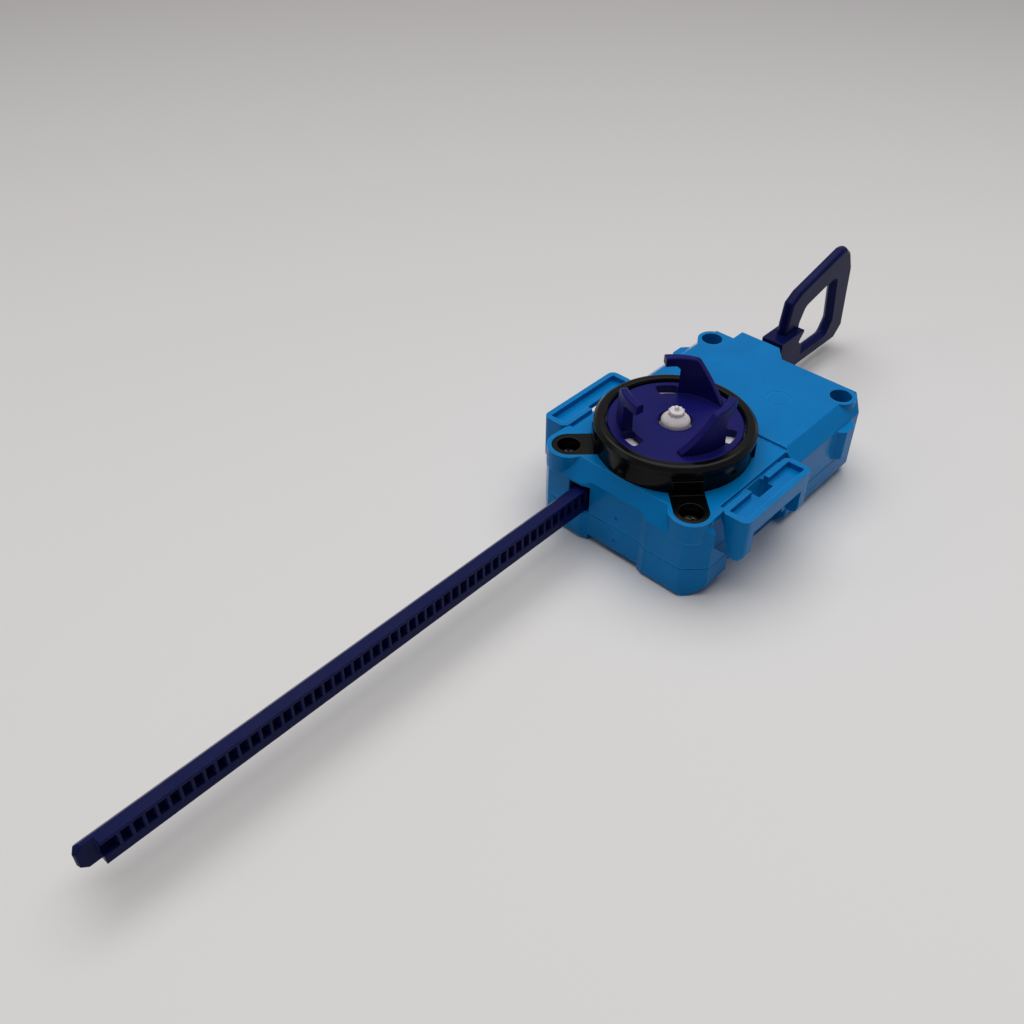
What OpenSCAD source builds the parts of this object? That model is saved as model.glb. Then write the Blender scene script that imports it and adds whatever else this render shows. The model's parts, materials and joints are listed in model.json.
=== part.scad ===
// Rip-strip launcher for spinning tops, lying on its back with the prongs up.
// The origin is on the spin axis at the base, +X points from the strip's tip to its finger loop.

/* [Housing] */
// Height of the rear deck above the base
deck_h = 25.6; // [23.5:0.1:28]
// Drop from the rear deck to the front deck
deck_step = 0.8; // [0.4:0.1:1.4]
// Height of the seam between the two shells
seam_z = 9.8; // [9.2:0.1:10.2]
// Wall thickness of the shells
wall = 2; // [1.6:0.1:2.4]
// Distance from the spin axis to the front faces of the corner blocks
block_x = 25.2; // [24.6:0.1:28]
// Depth of the front panel behind the corner blocks
panel_in = 1; // [0.6:0.1:1.6]
// Half width of the front panel
panel_half = 8.7; // [8.2:0.1:9.2]
// Width of the slope between the panel and a corner block
block_slope = 2.2; // [1.4:0.1:3]
// Drop from the rear deck to the top of the corner blocks' front faces
block_drop = 6.3; // [5.2:0.1:7]
// Half width of the housing
half_w = 28.1; // [27:0.1:30]
// Depth of the waist between the blocks, under the trays
waist_in = 3.5; // [2.9:0.1:3.9]
// Rear end of the front corner blocks, from the spin axis
waist_front = 10.6; // [9.8:0.1:11.4]
// Front end of the wide rear part
waist_rear = 18; // [17:0.1:20]
// Distance from the spin axis to the rear wall
rear_x = 56.5; // [56:0.1:60]
// Corner cut of the front blocks
front_cut = 5.4; // [4:0.1:6]
// Corner cut at the rear
rear_cut = 4.5; // [3:0.1:5.5]
// Bevel along the sides of the rear deck
side_bevel = 4.1; // [3:0.1:4.6]
// Bevel along the back of the rear deck
rear_bevel = 1.5; // [0.8:0.1:2]
// Where the rear deck starts, from the spin axis
step_x = 18.5; // [17.5:0.1:20]
// Front edge of the front deck, from the spin axis
deck_front = 21.4; // [20.6:0.1:22.4]
// Bevel round the underside
base_bevel = 3.4; // [2:0.1:4.5]
// Edge rounding of the shells
edge_r = 0.6; // [0.3:0.1:0.9]
// Front end of the pockets between the corner blocks and the trays, ahead of the spin axis
pocket_x = 19; // [18.6:0.1:19.4]
// Height where the pockets' slanted floors start
pocket_h = 16.6; // [15.6:0.1:17.4]
// Front end of the catches on the sides, behind the spin axis
catch_x = 39.7; // [38:0.1:41]
// Reach of a catch past the side wall
catch_w = 2.3; // [1.8:0.1:2.8]
// Round mould mark on the rear deck, behind the spin axis
mark_x = 37.1; // [35:0.1:39]
// Round mould mark on the rear deck, right of the middle
mark_y = 9.9; // [8:0.1:12]
// Radius of the mould mark
mark_r = 3.4; // [2.8:0.1:4]

/* [Trays] */
// Width of a side tray
tray_w = 8.1; // [7:0.1:9.5]
// Gap between the deck's side and a tray
tray_gap = 1.4; // [1.2:0.1:1.8]
// Front end of a tray, ahead of the spin axis
tray_front = 14.9; // [14.2:0.1:15.4]
// Rear end of a tray, behind the spin axis
tray_rear = 15.9; // [15:0.1:16.6]
// Drop from the rear deck to a tray's rim
tray_drop = 0.4; // [0.2:0.1:0.7]
// Depth of the recess in a tray
tray_recess = 1.9; // [1:0.1:2.4]
// Thickness of a tray's rim
tray_rim = 1.6; // [1.3:0.1:1.9]
// Rounding of a tray's outer corners
tray_round = 1.9; // [1:0.1:2.6]
// Depth of the groove between a tray and the deck
tray_groove = 1.2; // [0.8:0.1:1.6]
// Depth of the outer rail
rail_h = 5; // [4.2:0.1:6]
// Lowest point of the legs
leg_z = 11.9; // [11:0.1:13]
// Length of a leg along the housing
leg_l = 4.2; // [3:0.1:5]
// Front end of the notch in a tray's inner rim, from the spin axis
notch_x = -3.1; // [-4:0.1:-2]
// Length of the notch
notch_l = 8; // [6:0.1:9]
// Width of the slot through a tray's floor, from its inner face
slot_w = 3.2; // [2.4:0.1:3.6]

/* [Retainer ring] */
// Outer radius of the ring's rim
ring_r = 22; // [21.4:0.1:23]
// Height of the ring's top above the rear deck
ring_rise = 7.7; // [7.3:0.05:8.2]
// Radius of the opening in the ring
ring_hole_r = 18.7; // [18.2:0.1:19.2]
// Depth of the ring's seat below the front deck
ring_seat = 2; // [1.4:0.1:2.4]
// Thickness of the ring's base and ears
ear_t = 1.9; // [1.5:0.1:2.2]
// Ear screw, ahead of the spin axis
ear_x = 19.6; // [19:0.1:20.2]
// Ear screw, from the middle
ear_y = 20.5; // [20:0.1:21]
// Radius of an ear's round end
ear_r = 4.6; // [4.2:0.1:5]
// Radius of the pad round an ear
pad_r = 6; // [5.6:0.1:6.3]

/* [Screws] */
// Radius of the head recess in an ear
ear_sink_r = 3.2; // [2.9:0.1:3.3]
// Depth of the head recess in an ear
ear_sink = 4.8; // [4.2:0.1:5.2]
// Thickness of the cup round the head recess
cup_wall = 1.1; // [0.9:0.1:1.2]
// Rear screw well, behind the spin axis
well_x = 50.2; // [49:0.1:50.8]
// Rear screw well, from the middle
well_y = 22.4; // [21.6:0.1:22.8]
// Radius of a rear screw well
well_r = 3.2; // [2.9:0.1:3.6]
// Wall round a rear screw well
well_wall = 1.2; // [1:0.1:1.6]
// Radius of a screw's shank
screw_r = 1.3; // [1.1:0.05:1.5]
// Radius of a screw's head
head_r = 2.6; // [2.3:0.05:2.75]
// Height of a screw's head
head_h = 1.7; // [1.3:0.1:2]

/* [Prong disc] */
// Depth of the disc's face below the ring's top
disc_drop = 0.8; // [0.5:0.1:1.2]
// Thickness of the disc
disc_t = 2.4; // [2:0.1:2.8]
// Height of a prong above the disc
prong_h = 11.2; // [10:0.1:13]
// Outer radius of a prong at its foot
prong_r = 15.9; // [15.4:0.1:16.4]
// Thickness of a prong at its foot
prong_t = 3; // [2.6:0.1:3.4]
// Taper of a prong's two faces, foot to top
prong_draft = 0.4; // [0.2:0.1:0.6]
// Reach of a hook past its prong
hook_reach = 4.4; // [4:0.1:5]
// Thickness of a hook
hook_t = 2.6; // [2:0.1:3]
// Length of the flat top of a prong with its hook
prong_flat = 8.8; // [8:0.1:10]
// Length of a prong from its ramp's foot to its hook's root
prong_l = 12.8; // [12:0.1:13.6]
// Angle of the first hook's root, from +X
hook_angle = 32; // [0:0.5:119.5]
// Radius of the hole in the disc's middle
eye_r = 4.75; // [4.6:0.05:5.2]

/* [Button] */
// Radius of the centre button
button_r = 4.2; // [3.9:0.05:4.5]
// Height of the button's crown above the disc
button_h = 3.5; // [3.2:0.1:4]
// Radius of the button's crown
crown_r = 2.1; // [1.8:0.1:2.4]
// Height of the nib on the crown
nib_h = 1.2; // [0.8:0.1:1.6]
// Travel of the button
button_travel = 2; // [1.4:0.1:2.4]
// Radius of the button spring, to the middle of its wire
spring_r = 2.7; // [2.5:0.1:2.9]
// Radius of the button spring's wire
spring_wire = 0.3; // [0.2:0.05:0.35]
// Turns of the button spring
spring_turns = 4; // [3:1:5]

/* [Gears] */
// Tooth pitch of the strip
rack_pitch = 2.874; // [2.8:0.001:2.95]
// Teeth of the pinion that the strip drives
pinion_teeth = 18; // [17:1:19]
// Teeth of the wheel under the pinion
wheel_teeth = 34; // [32:1:35]
// Teeth of the gear under the prong disc
spin_teeth = 16; // [16:1:18]
// Module of the wheel and the spin gear
wheel_module = 1; // [0.95:0.01:1.02]
// Thickness of the wheel
wheel_t = 3; // [2.4:0.1:3.4]
// Play between meshed teeth
mesh_play = 0.24; // [0.16:0.02:0.36]
// Radius of the main spindle
spindle_r = 2; // [1.7:0.05:2.2]
// Radius of the pinion's spindle
pinion_pin_r = 1.5; // [1.3:0.05:1.8]
// Running clearance round the spindles
run_gap = 0.06; // [0.03:0.01:0.1]

/* [Winder strip] */
// Place of the tooth tips, left of the spin axis
rack_y = 9.9; // [9.6:0.05:10.2]
// Width of the strip, tooth tips to back
rack_w = 4.6; // [4.3:0.1:5]
// Clearance between the seam and the strip
rack_gap = 0.4; // [0.3:0.05:0.6]
// Height of the strip
rack_h = 7.2; // [6.8:0.1:7.6]
// Height of the plain band under the teeth
rack_lip = 2.6; // [2.4:0.1:3]
// Thickness of the flange over the teeth
rack_cap = 0.7; // [0.5:0.05:0.9]
// Tip of the strip, ahead of the spin axis
tip_x = 176; // [172:0.2:180]
// Length of the plain nose at the tip
nose_l = 4.6; // [3.6:0.1:6]

/* [Finger loop] */
// Near end of the stop block, behind the spin axis
stop_x = 69.8; // [68:0.1:72]
// Length of the stop block
stop_l = 13; // [12:0.1:14]
// Width of the stop block
stop_w = 7.4; // [6.6:0.1:8]
// Top of the stop block above the base
stop_top = 20.2; // [19.6:0.1:21]
// Underside of the stop block above the base
stop_base = 7.4; // [6.8:0.1:8.4]
// Thickness of the loop
loop_t = 3.6; // [3:0.1:4.4]
// Far end of the loop, behind the spin axis
loop_end = 114.4; // [111:0.1:118]
// Top of the loop above the base
loop_top = 39.6; // [38:0.1:42]
// Underside of the loop above the base
loop_base = 3.4; // [2.6:0.1:4.4]
// Width of the bars of the loop
loop_bar = 8.6; // [7.6:0.1:9.4]
// Bevel round the loop
loop_bevel = 0.9; // [0.5:0.1:1.2]

/* [Hidden] */
$fn = 64;

// Colours
blue = "#0a86cf";
navy = "#23206b";
black = "#16161a";
white = "#e9e7e4";
steel = "#b8bcc2";

// Small clearances
air = 0.3;
seat = 0.15;
over = 1;

// Decks and seats
waist_w = half_w - waist_in;
front_deck = deck_h - deck_step;
ring_base = front_deck - ring_seat;
ring_top = deck_h + ring_rise;
disc_top = ring_top - disc_drop;
block_top = deck_h - block_drop;
tray_top = deck_h - tray_drop;
tray_in = waist_w + tray_gap;
tray_out = tray_in + tray_w;
deck_t = 1.4;
deck_under = ring_base - deck_t;
panel_x = block_x - panel_in;
rear_deck_end = rear_x - rear_bevel;
seam_groove = 0.3;
panel_hollow = 2.2;

// Rear exit for the strip
exit_x = rear_x + 3.3;
exit_y0 = rack_y - 5.5;
exit_y1 = rack_y + rack_w + 3.3;
exit_slope = 4;

// Strip
rack_add = 0.85;
rack_ded = 0.95;
tooth_angle = 20;
rack_z = seam_z + rack_gap;
rack_line = rack_y + rack_add;
rack_root = rack_line + rack_ded;
rack_back = rack_y + rack_w;
rack_top = rack_z + rack_h;
teeth_z0 = rack_z + rack_lip;
teeth_z1 = rack_top - rack_cap;
first_tooth = -tip_x + nose_l + rack_pitch * 0.4;
rack_teeth = floor((stop_x - first_tooth) / rack_pitch);
loop_y = rack_y + 2.3;

// Gear train
pinion_pitch_r = pinion_teeth * rack_pitch / (2 * PI);
wheel_r = wheel_teeth * wheel_module / 2;
spin_r = spin_teeth * wheel_module / 2;
gear_y = rack_line - pinion_pitch_r;
gear_x = sqrt(pow(wheel_r + spin_r, 2) - gear_y * gear_y);
train_angle = atan2(gear_y, gear_x);
wheel_add = 0.9 * wheel_module;
wheel_ded = 1.1 * wheel_module;
rack_offset = (first_tooth - gear_x) / rack_pitch;
rack_shift = (rack_offset - floor(rack_offset)) * rack_pitch;
wheel_phase = train_angle + 180 + 180 / wheel_teeth;
hub_step = 0.6;
hub_r = pinion_pitch_r - rack_ded - hub_step;
web_hole_r = 2.4;
lap = 0.5;
pinion_phase = 90 - rack_shift / pinion_pitch_r * 180 / PI + 180 / pinion_teeth;

// Heights of the gear train
floor_z = wall;
boss_h = 1.6;
boss_top = floor_z + boss_h;
washer_t = 0.6;
wheel_z = boss_top + washer_t + air;
pinion_z0 = teeth_z0 + air;
pinion_z1 = teeth_z1 - air;
boss_r = 5;
post_r = 3.6;
pin_seat = 1.2;
pin_up = 2.4;
upper_boss_z = rack_top + 2 * air;
flange_top = disc_top - disc_t;
flange_t = 2.2;
flange_r = ring_hole_r + 0.7;
neck_r = 6.2;
collar_wall = 2.2;
collar_l = 3.4;

// Button
button_flange_t = 1.3;
button_cup = 0.8;
button_flange_r = eye_r + 0.55;
button_seat_z = flange_top - seat - button_flange_t;
pocket_z = button_seat_z - button_travel - 4.2;
spring_pocket_r = spring_r + spring_wire + 0.35;
spindle_top = pocket_z - 1;

// Screws
screw_end = 3.2;
ear_floor_z = ring_base + ear_t - ear_sink;
cup_r = ear_sink_r + cup_wall;
cup_z = ear_floor_z - cup_wall;
ear_post_r = cup_r + seat + cup_wall;
well_head_z = seam_z + 1.6;
disc_screw_r = prong_r - prong_t / 2 + seat;
disc_screw_shank = 0.9;
disc_screw_head = 1.7;
disc_screw_angle = 18;
disc_head_h = 1.3;
tip_gap = 0.4;
disc_screw_up = 5;
dimple_r = 0.6;
dimple_y = -0.6;
dimple_up = 3.6;
dimple_down = 4.4;
dimple_in = 0.3;
mark_in = 0.1;
mark_line = 0.35;

// Outlines
function unit(v) = v / norm(v);
function corner(a, b, c, r, n) =
    let (u = unit(a - b), v = unit(c - b), h = acos(u * v) / 2)
    let (d = r / tan(h), o = b + unit(u + v) * r / sin(h))
    let (p = b + u * d - o, q = b + v * d - o)
    [for (i = [0:n]) o + r * unit(p * (1 - i / n) + q * (i / n))];
function rounded(p, r, n = 3) =
    let (m = len(p))
    [for (i = [0:m - 1]) each corner(p[(i + m - 1) % m], p[i], p[(i + 1) % m], r, n)];
function mirrored(half) =
    let (m = len(half))
    concat(half, [for (i = [0:m - 1]) [half[m - 1 - i][0], -half[m - 1 - i][1]]]);
function both_sides(half) =
    let (m = len(half))
    concat(half, [for (i = [0:m - 1]) [-half[m - 1 - i][0], half[m - 1 - i][1]]]);
function turned(p, a) = [p[0] * cos(a) - p[1] * sin(a), p[0] * sin(a) + p[1] * cos(a)];

// Plan of the housing, drawn in by an inset
function plan(inset) =
    let (e = inset * tan(22.5), f = inset - block_x, w = half_w - inset, r = rear_x - inset)
    mirrored([
        [inset - panel_x, panel_half + e],
        [f, panel_half + block_slope + e],
        [f, w - front_cut + e],
        [f + front_cut - e, w],
        [-waist_front - inset, w],
        [-waist_front - inset, waist_w - inset],
        [waist_rear + inset, waist_w - inset],
        [waist_rear + inset, w],
        [r - rear_cut + e, w],
        [r, w - rear_cut + e]
    ]);

// Side view of the housing, drawn in by an inset
function profile(inset) =
    let (s = (front_deck - block_top) / (block_x - deck_front), r = rear_x - inset)
    [
        [inset - block_x, block_top - inset * 0.6],
        [inset * 0.7 - deck_front, front_deck - inset],
        [step_x + inset, front_deck - inset],
        [step_x + inset, deck_h - inset],
        [r - rear_bevel, deck_h - inset],
        [r, deck_h - rear_bevel - inset],
        [r, base_bevel + 2.6 + inset],
        [r - base_bevel - 2.6, inset],
        [inset - block_x + 1.2, inset],
        [inset - block_x, 1.2 + inset]
    ];

// Cross-section of the housing, drawn in by an inset
function section(inset) =
    let (w = half_w - inset)
    both_sides([
        [w - base_bevel, inset],
        [w, base_bevel + inset],
        [w, deck_h - side_bevel - inset * 0.4],
        [w - side_bevel, deck_h - inset]
    ]);

// Solid of the housing between two heights, drawn in by an inset
module hull_block(inset, z0, z1, r) {
    intersection() {
        translate([0, 0, z0]) linear_extrude(z1 - z0) polygon(rounded(plan(inset), r));
        rotate([90, 0, 0]) linear_extrude(4 * half_w, center = true)
            polygon(rounded(profile(inset), r / 2));
        rotate([90, 0, 90]) linear_extrude(6 * rear_x, center = true)
            polygon(rounded(section(inset), r));
    }
}

// Slopes that take off the top corners at the rear, moved in by an inset
module corner_slopes(inset) {
    reach = (rear_x + half_w - rear_cut) / sqrt(2) - inset / sqrt(2);
    cut = side_bevel + over;
    for (s = [-1, 1]) rotate(45 * s) translate([reach, 0, deck_h - inset / sqrt(2)]) rotate([90, 0, 0])
        linear_extrude(side_bevel * 5, center = true) polygon([[over, -cut], [over, over], [-cut, over]]);
}

// Pockets between the corner blocks and the trays, with slanted floors, grown by a skin
module pockets(skin) {
    line = pocket_h - pocket_x - skin * sqrt(2);
    x0 = -pocket_x - skin;
    x1 = over - waist_front;
    for (s = [0, 1]) mirror([0, s, 0]) translate([0, 2 * half_w, 0]) rotate([90, 0, 0])
        linear_extrude(2 * half_w - waist_w + skin)
            polygon([[x0, deck_h + over], [x0, line - x0], [x1, line - x1], [x1, deck_h + over]]);
}

// Round bump that lets the strip out at the rear
module exit_bump(z0, z1) {
    translate([0, 0, z0]) linear_extrude(z1 - z0) polygon([
        [rear_deck_end - 2, exit_y1],
        [exit_x, exit_y1],
        [exit_x, exit_y0],
        [rear_deck_end, exit_y0 - exit_slope],
        [rear_deck_end - 2, exit_y0 - exit_slope]
    ]);
}

// Way for the strip, right through the housing
module strip_way() {
    near = 1.2;
    far = 0.6;
    up = 1.4;
    translate([-block_x - over, rack_y - near, seam_z - over])
        cube([exit_x + block_x + 2 * over, rack_w + near + far, rack_top + up - seam_z + over]);
}

module at_ears() {
    for (s = [-1, 1]) translate([-ear_x, s * ear_y, 0]) children();
}

module at_wells() {
    for (s = [-1, 1]) translate([well_x, s * well_y, 0]) children();
}

module at_disc_screws() {
    for (k = [0:2]) rotate(hook_angle + 120 * k - disc_screw_angle) translate([disc_screw_r, 0, 0]) children();
}

// Outline of an ear, from the ring to its round end
module ear_outline(grow) {
    for (s = [-1, 1]) {
        translate([-ear_x, s * ear_y]) circle(ear_r + grow);
        rotate(180 - s * atan2(ear_y, ear_x)) translate([ring_hole_r, -ear_r - grow])
            square([norm([ear_x, ear_y]) - ring_hole_r, 2 * (ear_r + grow)]);
    }
}

// One side tray with its rail and legs, on the left side
module tray() {
    length = tray_front + tray_rear;
    outline = rounded([
        [-tray_front, tray_in], [tray_rear, tray_in], [tray_rear, tray_out], [-tray_front, tray_out]
    ], tray_round);
    floor_t = 1.6;
    floor_top = tray_top - tray_recess;
    rib_x = 8.2;
    rib_t = 1.6;
    slot_in = 1.5;
    difference() {
        union() {
            translate([0, 0, floor_top - floor_t]) linear_extrude(tray_recess + floor_t) polygon(outline);
            // Bridge under the groove, from the deck's side to the tray
            translate([-tray_front + tray_round, waist_w - wall / 2, floor_top - floor_t])
                cube([length - 2 * tray_round, tray_gap + wall, front_deck - tray_groove - floor_top + floor_t]);
            translate([-tray_front + tray_round, tray_out - tray_rim, tray_top - rail_h])
                cube([length - 2 * tray_round, tray_rim, rail_h - tray_recess]);
            intersection() {
                for (x = [-tray_front, tray_rear - leg_l]) tray_leg(x, floor_top - floor_t / 2);
                linear_extrude(tray_top) polygon(outline);
            }
            translate([rib_x, waist_w - wall / 2, leg_z + rib_t])
                cube([rib_t, tray_out - tray_rim - waist_w, floor_top - floor_t / 2 - leg_z - rib_t]);
        }
        translate([tray_rim - tray_front, tray_in + tray_rim, floor_top])
            cube([length - 2 * tray_rim, tray_w - 2 * tray_rim, tray_recess + over]);
        translate([notch_x, tray_in - over, floor_top])
            cube([notch_l, tray_rim + 2 * over, tray_recess + over]);
        translate([notch_x + slot_in, waist_w + air, floor_top - 2 * floor_t])
            cube([notch_l - slot_in, tray_in + slot_w - waist_w - air, tray_recess + 3 * floor_t]);
    }
}

// Leg of a tray: a plate that tapers to a round foot
module tray_leg(x, top) {
    foot_r = 2.2;
    translate([x, 0, 0]) rotate([90, 0, 90]) linear_extrude(leg_l) union() {
        polygon([
            [tray_in + tray_round / 2, top],
            [tray_out, top],
            [tray_out, leg_z + foot_r],
            [tray_out - 2 * foot_r, leg_z + foot_r]
        ]);
        translate([tray_out - foot_r, leg_z + foot_r]) circle(foot_r);
    }
}

// Catch block on the side of the rear part
module side_catch() {
    z0 = seam_z + 1.8;
    root = 0.5;
    translate([catch_x, half_w, z0]) linear_extrude(deck_h - side_bevel - air - z0) polygon([
        [-root, -root], [0, 0], [1.9, catch_w], [5.9, catch_w], [8.3, 0], [8.3 + root, -root]
    ]);
}

module upper_housing() {
    pad_z = block_top - edge_r;
    link_t = 2;
    well_h = 6.4;
    color(blue) difference() {
        union() {
            difference() {
                union() {
                    difference() {
                        hull_block(0, seam_z, deck_h + over, edge_r);
                        corner_slopes(0);
                        pockets(0);
                    }
                    exit_bump(seam_z, deck_h);
                    at_ears() translate([0, 0, pad_z]) cylinder(r = pad_r, h = front_deck - pad_z);
                    at_wells() translate([0, 0, deck_h - well_h])
                        cylinder(r = well_r + well_wall, h = well_h);
                    for (s = [0, 1]) mirror([0, s, 0]) {
                        tray();
                        side_catch();
                        // Link from the pad to the tray
                        translate([-ear_x, waist_w - wall, front_deck - link_t])
                            cube([ear_x - tray_front + tray_round, tray_in + air - waist_w + wall, link_t]);
                    }
                }
                upper_cavity();
            }
            upper_posts();
        }
        upper_holes();
    }
}

// Hollow of the upper shell under both decks
module upper_cavity() {
    difference() {
        intersection() {
            hull_block(wall, seam_z - over, deck_h - wall, 0.4);
            union() {
                translate([-half_w, -half_w, 0]) cube([half_w + step_x + wall, 2 * half_w, deck_under]);
                translate([step_x, -half_w, 0]) cube([rear_x, 2 * half_w, deck_h]);
            }
        }
        corner_slopes(wall);
        pockets(wall);
        at_ears() cylinder(r = ear_post_r, h = deck_h);
        at_wells() cylinder(r = well_r + well_wall, h = deck_h);
    }
}

// Collar for the spin gear's neck, and the boss that holds the pinion's spindle
module upper_posts() {
    translate([0, 0, ring_base - collar_l]) cylinder(r = neck_r + collar_wall, h = collar_l);
    translate([gear_x, gear_y, upper_boss_z])
        cylinder(r = post_r + air, h = deck_h - wall - upper_boss_z + lap);
}

module upper_holes() {
    strip_way();
    translate([0, 0, ring_base]) cylinder(r = ring_r - 0.8 + seat, h = deck_h);
    translate([0, 0, ring_base]) linear_extrude(deck_h) ear_outline(seat);
    translate([0, 0, seam_z]) cylinder(r = neck_r + run_gap, h = deck_h);
    at_ears() {
        translate([0, 0, cup_z - air]) cylinder(r = cup_r + seat, h = deck_h);
        translate([0, 0, seam_z - over]) cylinder(r = screw_r + seat, h = deck_h);
    }
    at_wells() {
        translate([0, 0, well_head_z]) cylinder(r = well_r, h = deck_h);
        translate([0, 0, seam_z - over]) cylinder(r = screw_r + seat, h = deck_h);
    }
    translate([gear_x, gear_y, upper_boss_z - over]) cylinder(r = pinion_pin_r + run_gap, h = over + pin_up + seat);
    // Ejector dimple and mould mark
    translate([-panel_x - over, dimple_y, seam_z + dimple_up]) dimple();
    translate([mark_x, -mark_y, deck_h - mark_in]) difference() {
        cylinder(r = mark_r, h = over);
        cylinder(r = mark_r - mark_line, h = over);
    }
}

// Ejector dimple in the front panel
module dimple() {
    rotate([0, 90, 0]) cylinder(r = dimple_r, h = over + dimple_in);
}

module lower_housing() {
    color(blue) difference() {
        union() {
            difference() {
                union() {
                    hull_block(0, 0, seam_z - seam_groove, edge_r);
                    hull_block(seam_groove, seam_z - 2 * seam_groove, seam_z, edge_r);
                    exit_bump(base_bevel + 2, seam_z - seam_groove);
                }
                lower_cavity();
                pockets(0);
                // Shallow hollow under the front panel
                translate([-block_x - over, -panel_half, -over])
                    cube([panel_in + over + panel_hollow, 2 * panel_half, panel_hollow + over]);
            }
            lower_posts();
        }
        lower_holes();
    }
}

module lower_cavity() {
    difference() {
        hull_block(wall, floor_z, seam_z + over, 0.4);
        pockets(wall);
        at_ears() cylinder(r = head_r + 2, h = deck_h);
        at_wells() cylinder(r = well_r + well_wall, h = deck_h);
    }
}

// Bosses for the two spindles
module lower_posts() {
    cylinder(r = boss_r, h = boss_top);
    translate([gear_x, gear_y, 0]) cylinder(r = boss_r, h = boss_top);
}

module lower_holes() {
    translate([0, 0, pin_seat]) cylinder(r = spindle_r + run_gap / 2, h = deck_h);
    translate([gear_x, gear_y, pin_seat]) cylinder(r = pinion_pin_r + run_gap / 2, h = deck_h);
    at_ears() translate([0, 0, screw_end - 0.4]) cylinder(r = screw_r + run_gap / 2, h = deck_h);
    at_wells() translate([0, 0, screw_end - 0.4]) cylinder(r = screw_r + run_gap / 2, h = deck_h);
    translate([-panel_x - over, dimple_y, seam_z - dimple_down]) dimple();
}

module retainer_ring() {
    wall_r = ring_r - 0.8;
    in_r = flange_r + 0.5;
    lip_z = flange_top + air;
    color(black) difference() {
        union() {
            rotate_extrude($fn = 128) polygon([
                [in_r - 2.4, ring_base],
                [wall_r, ring_base],
                [wall_r, ring_top - 2.9],
                [ring_r, ring_top - 2.3],
                [ring_r, ring_top - 1.1],
                [ring_r - 0.9, ring_top - 0.15],
                [ring_r - 1.4, ring_top],
                [ring_hole_r + 0.5, ring_top],
                [ring_hole_r, ring_top - 0.5],
                [ring_hole_r, lip_z],
                [in_r, lip_z],
                [in_r, ring_base + ear_t],
                [in_r - 2.4, ring_base + ear_t]
            ]);
            translate([0, 0, ring_base]) linear_extrude(ear_t) difference() {
                ear_outline(0);
                circle(in_r - 1);
            }
            at_ears() translate([0, 0, cup_z]) cylinder(r = cup_r, h = ring_base + ear_t - cup_z);
            ear_blocks(wall_r);
            // Catch lug on the wall
            rotate(-62) translate([wall_r - 0.8, -0.6, ring_base + ear_t]) cube([1.7, 1.2, 4.4]);
        }
        at_ears() {
            translate([0, 0, ear_floor_z]) cylinder(r = ear_sink_r, h = ear_sink + over);
            translate([0, 0, cup_z - over]) cylinder(r = screw_r + seat, h = cup_wall + 2 * over);
        }
        ring_windows(wall_r);
    }
}

// Square blocks on the ring's wall over the ears
module ear_blocks(wall_r) {
    w = 8.4;
    h = 5;
    for (s = [-1, 1]) rotate(180 - s * atan2(ear_y, ear_x))
        translate([wall_r - 1.2, -w / 2, ring_base + ear_t - 0.5]) cube([2, w, h]);
}

// Small blind window in the ring's wall, and a scoop over the deck
module ring_windows(wall_r) {
    w = 2.4;
    h = 1.3;
    rotate(-97) translate([wall_r - 0.5, -w / 2, ring_base + 4.2]) cube([over, w, h]);
    rotate(177) translate([wall_r + 0.7, 0, ring_base + ear_t + 0.2]) cylinder(r = 1.5, h = 2.2);
}

// Screw with a cross recess, its head's top at the origin
module screw(length) {
    difference() {
        union() {
            translate([0, 0, -head_h]) cylinder(r1 = head_r, r2 = head_r * 0.86, h = head_h);
            translate([0, 0, -length]) cylinder(r = screw_r, h = length - head_h / 2);
        }
        for (a = [0, 90]) rotate(a) translate([-head_r * 0.5, -0.35, -0.9]) cube([head_r, 0.7, over + 0.9]);
    }
}

module ring_screws() {
    color(black) at_ears() translate([0, 0, ear_floor_z + head_h]) screw(ear_floor_z + head_h - screw_end);
}

module rear_screws() {
    color(black) at_wells() translate([0, 0, well_head_z + head_h]) screw(well_head_z + head_h - screw_end);
}

// Side view of a prong with its hook, along its tangent
module prong_profile() {
    foot = 0.6;
    flat = prong_flat - hook_reach;
    polygon([
        [-prong_l, -0.5],
        [-prong_l, foot],
        [-flat, prong_h - 0.5],
        [-flat + 0.9, prong_h],
        [hook_reach + 3, prong_h],
        [hook_reach + 3, prong_h - hook_t],
        [0.9, prong_h - hook_t],
        [0, prong_h - hook_t - 0.9],
        [0, -0.5]
    ]);
}

// Wall of a prong: a drafted ring, thinner towards the ramp, with bevelled top edges
module prong_wall() {
    edge = 0.35;
    top_r = prong_r - prong_draft;
    in_r = prong_r - prong_t + 0.7;
    difference() {
        rotate_extrude($fn = 96) polygon([
            [0, -0.5], [prong_r, -0.5], [top_r, prong_h - edge], [top_r - edge, prong_h], [0, prong_h]
        ]);
        translate([-0.7, -1.2, 0]) rotate_extrude($fn = 96) polygon([
            [0, -over],
            [in_r, -over],
            [in_r + prong_draft, prong_h - edge],
            [in_r + prong_draft + edge + 0.3, prong_h + 0.3],
            [0, prong_h + 0.3]
        ]);
    }
}

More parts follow.
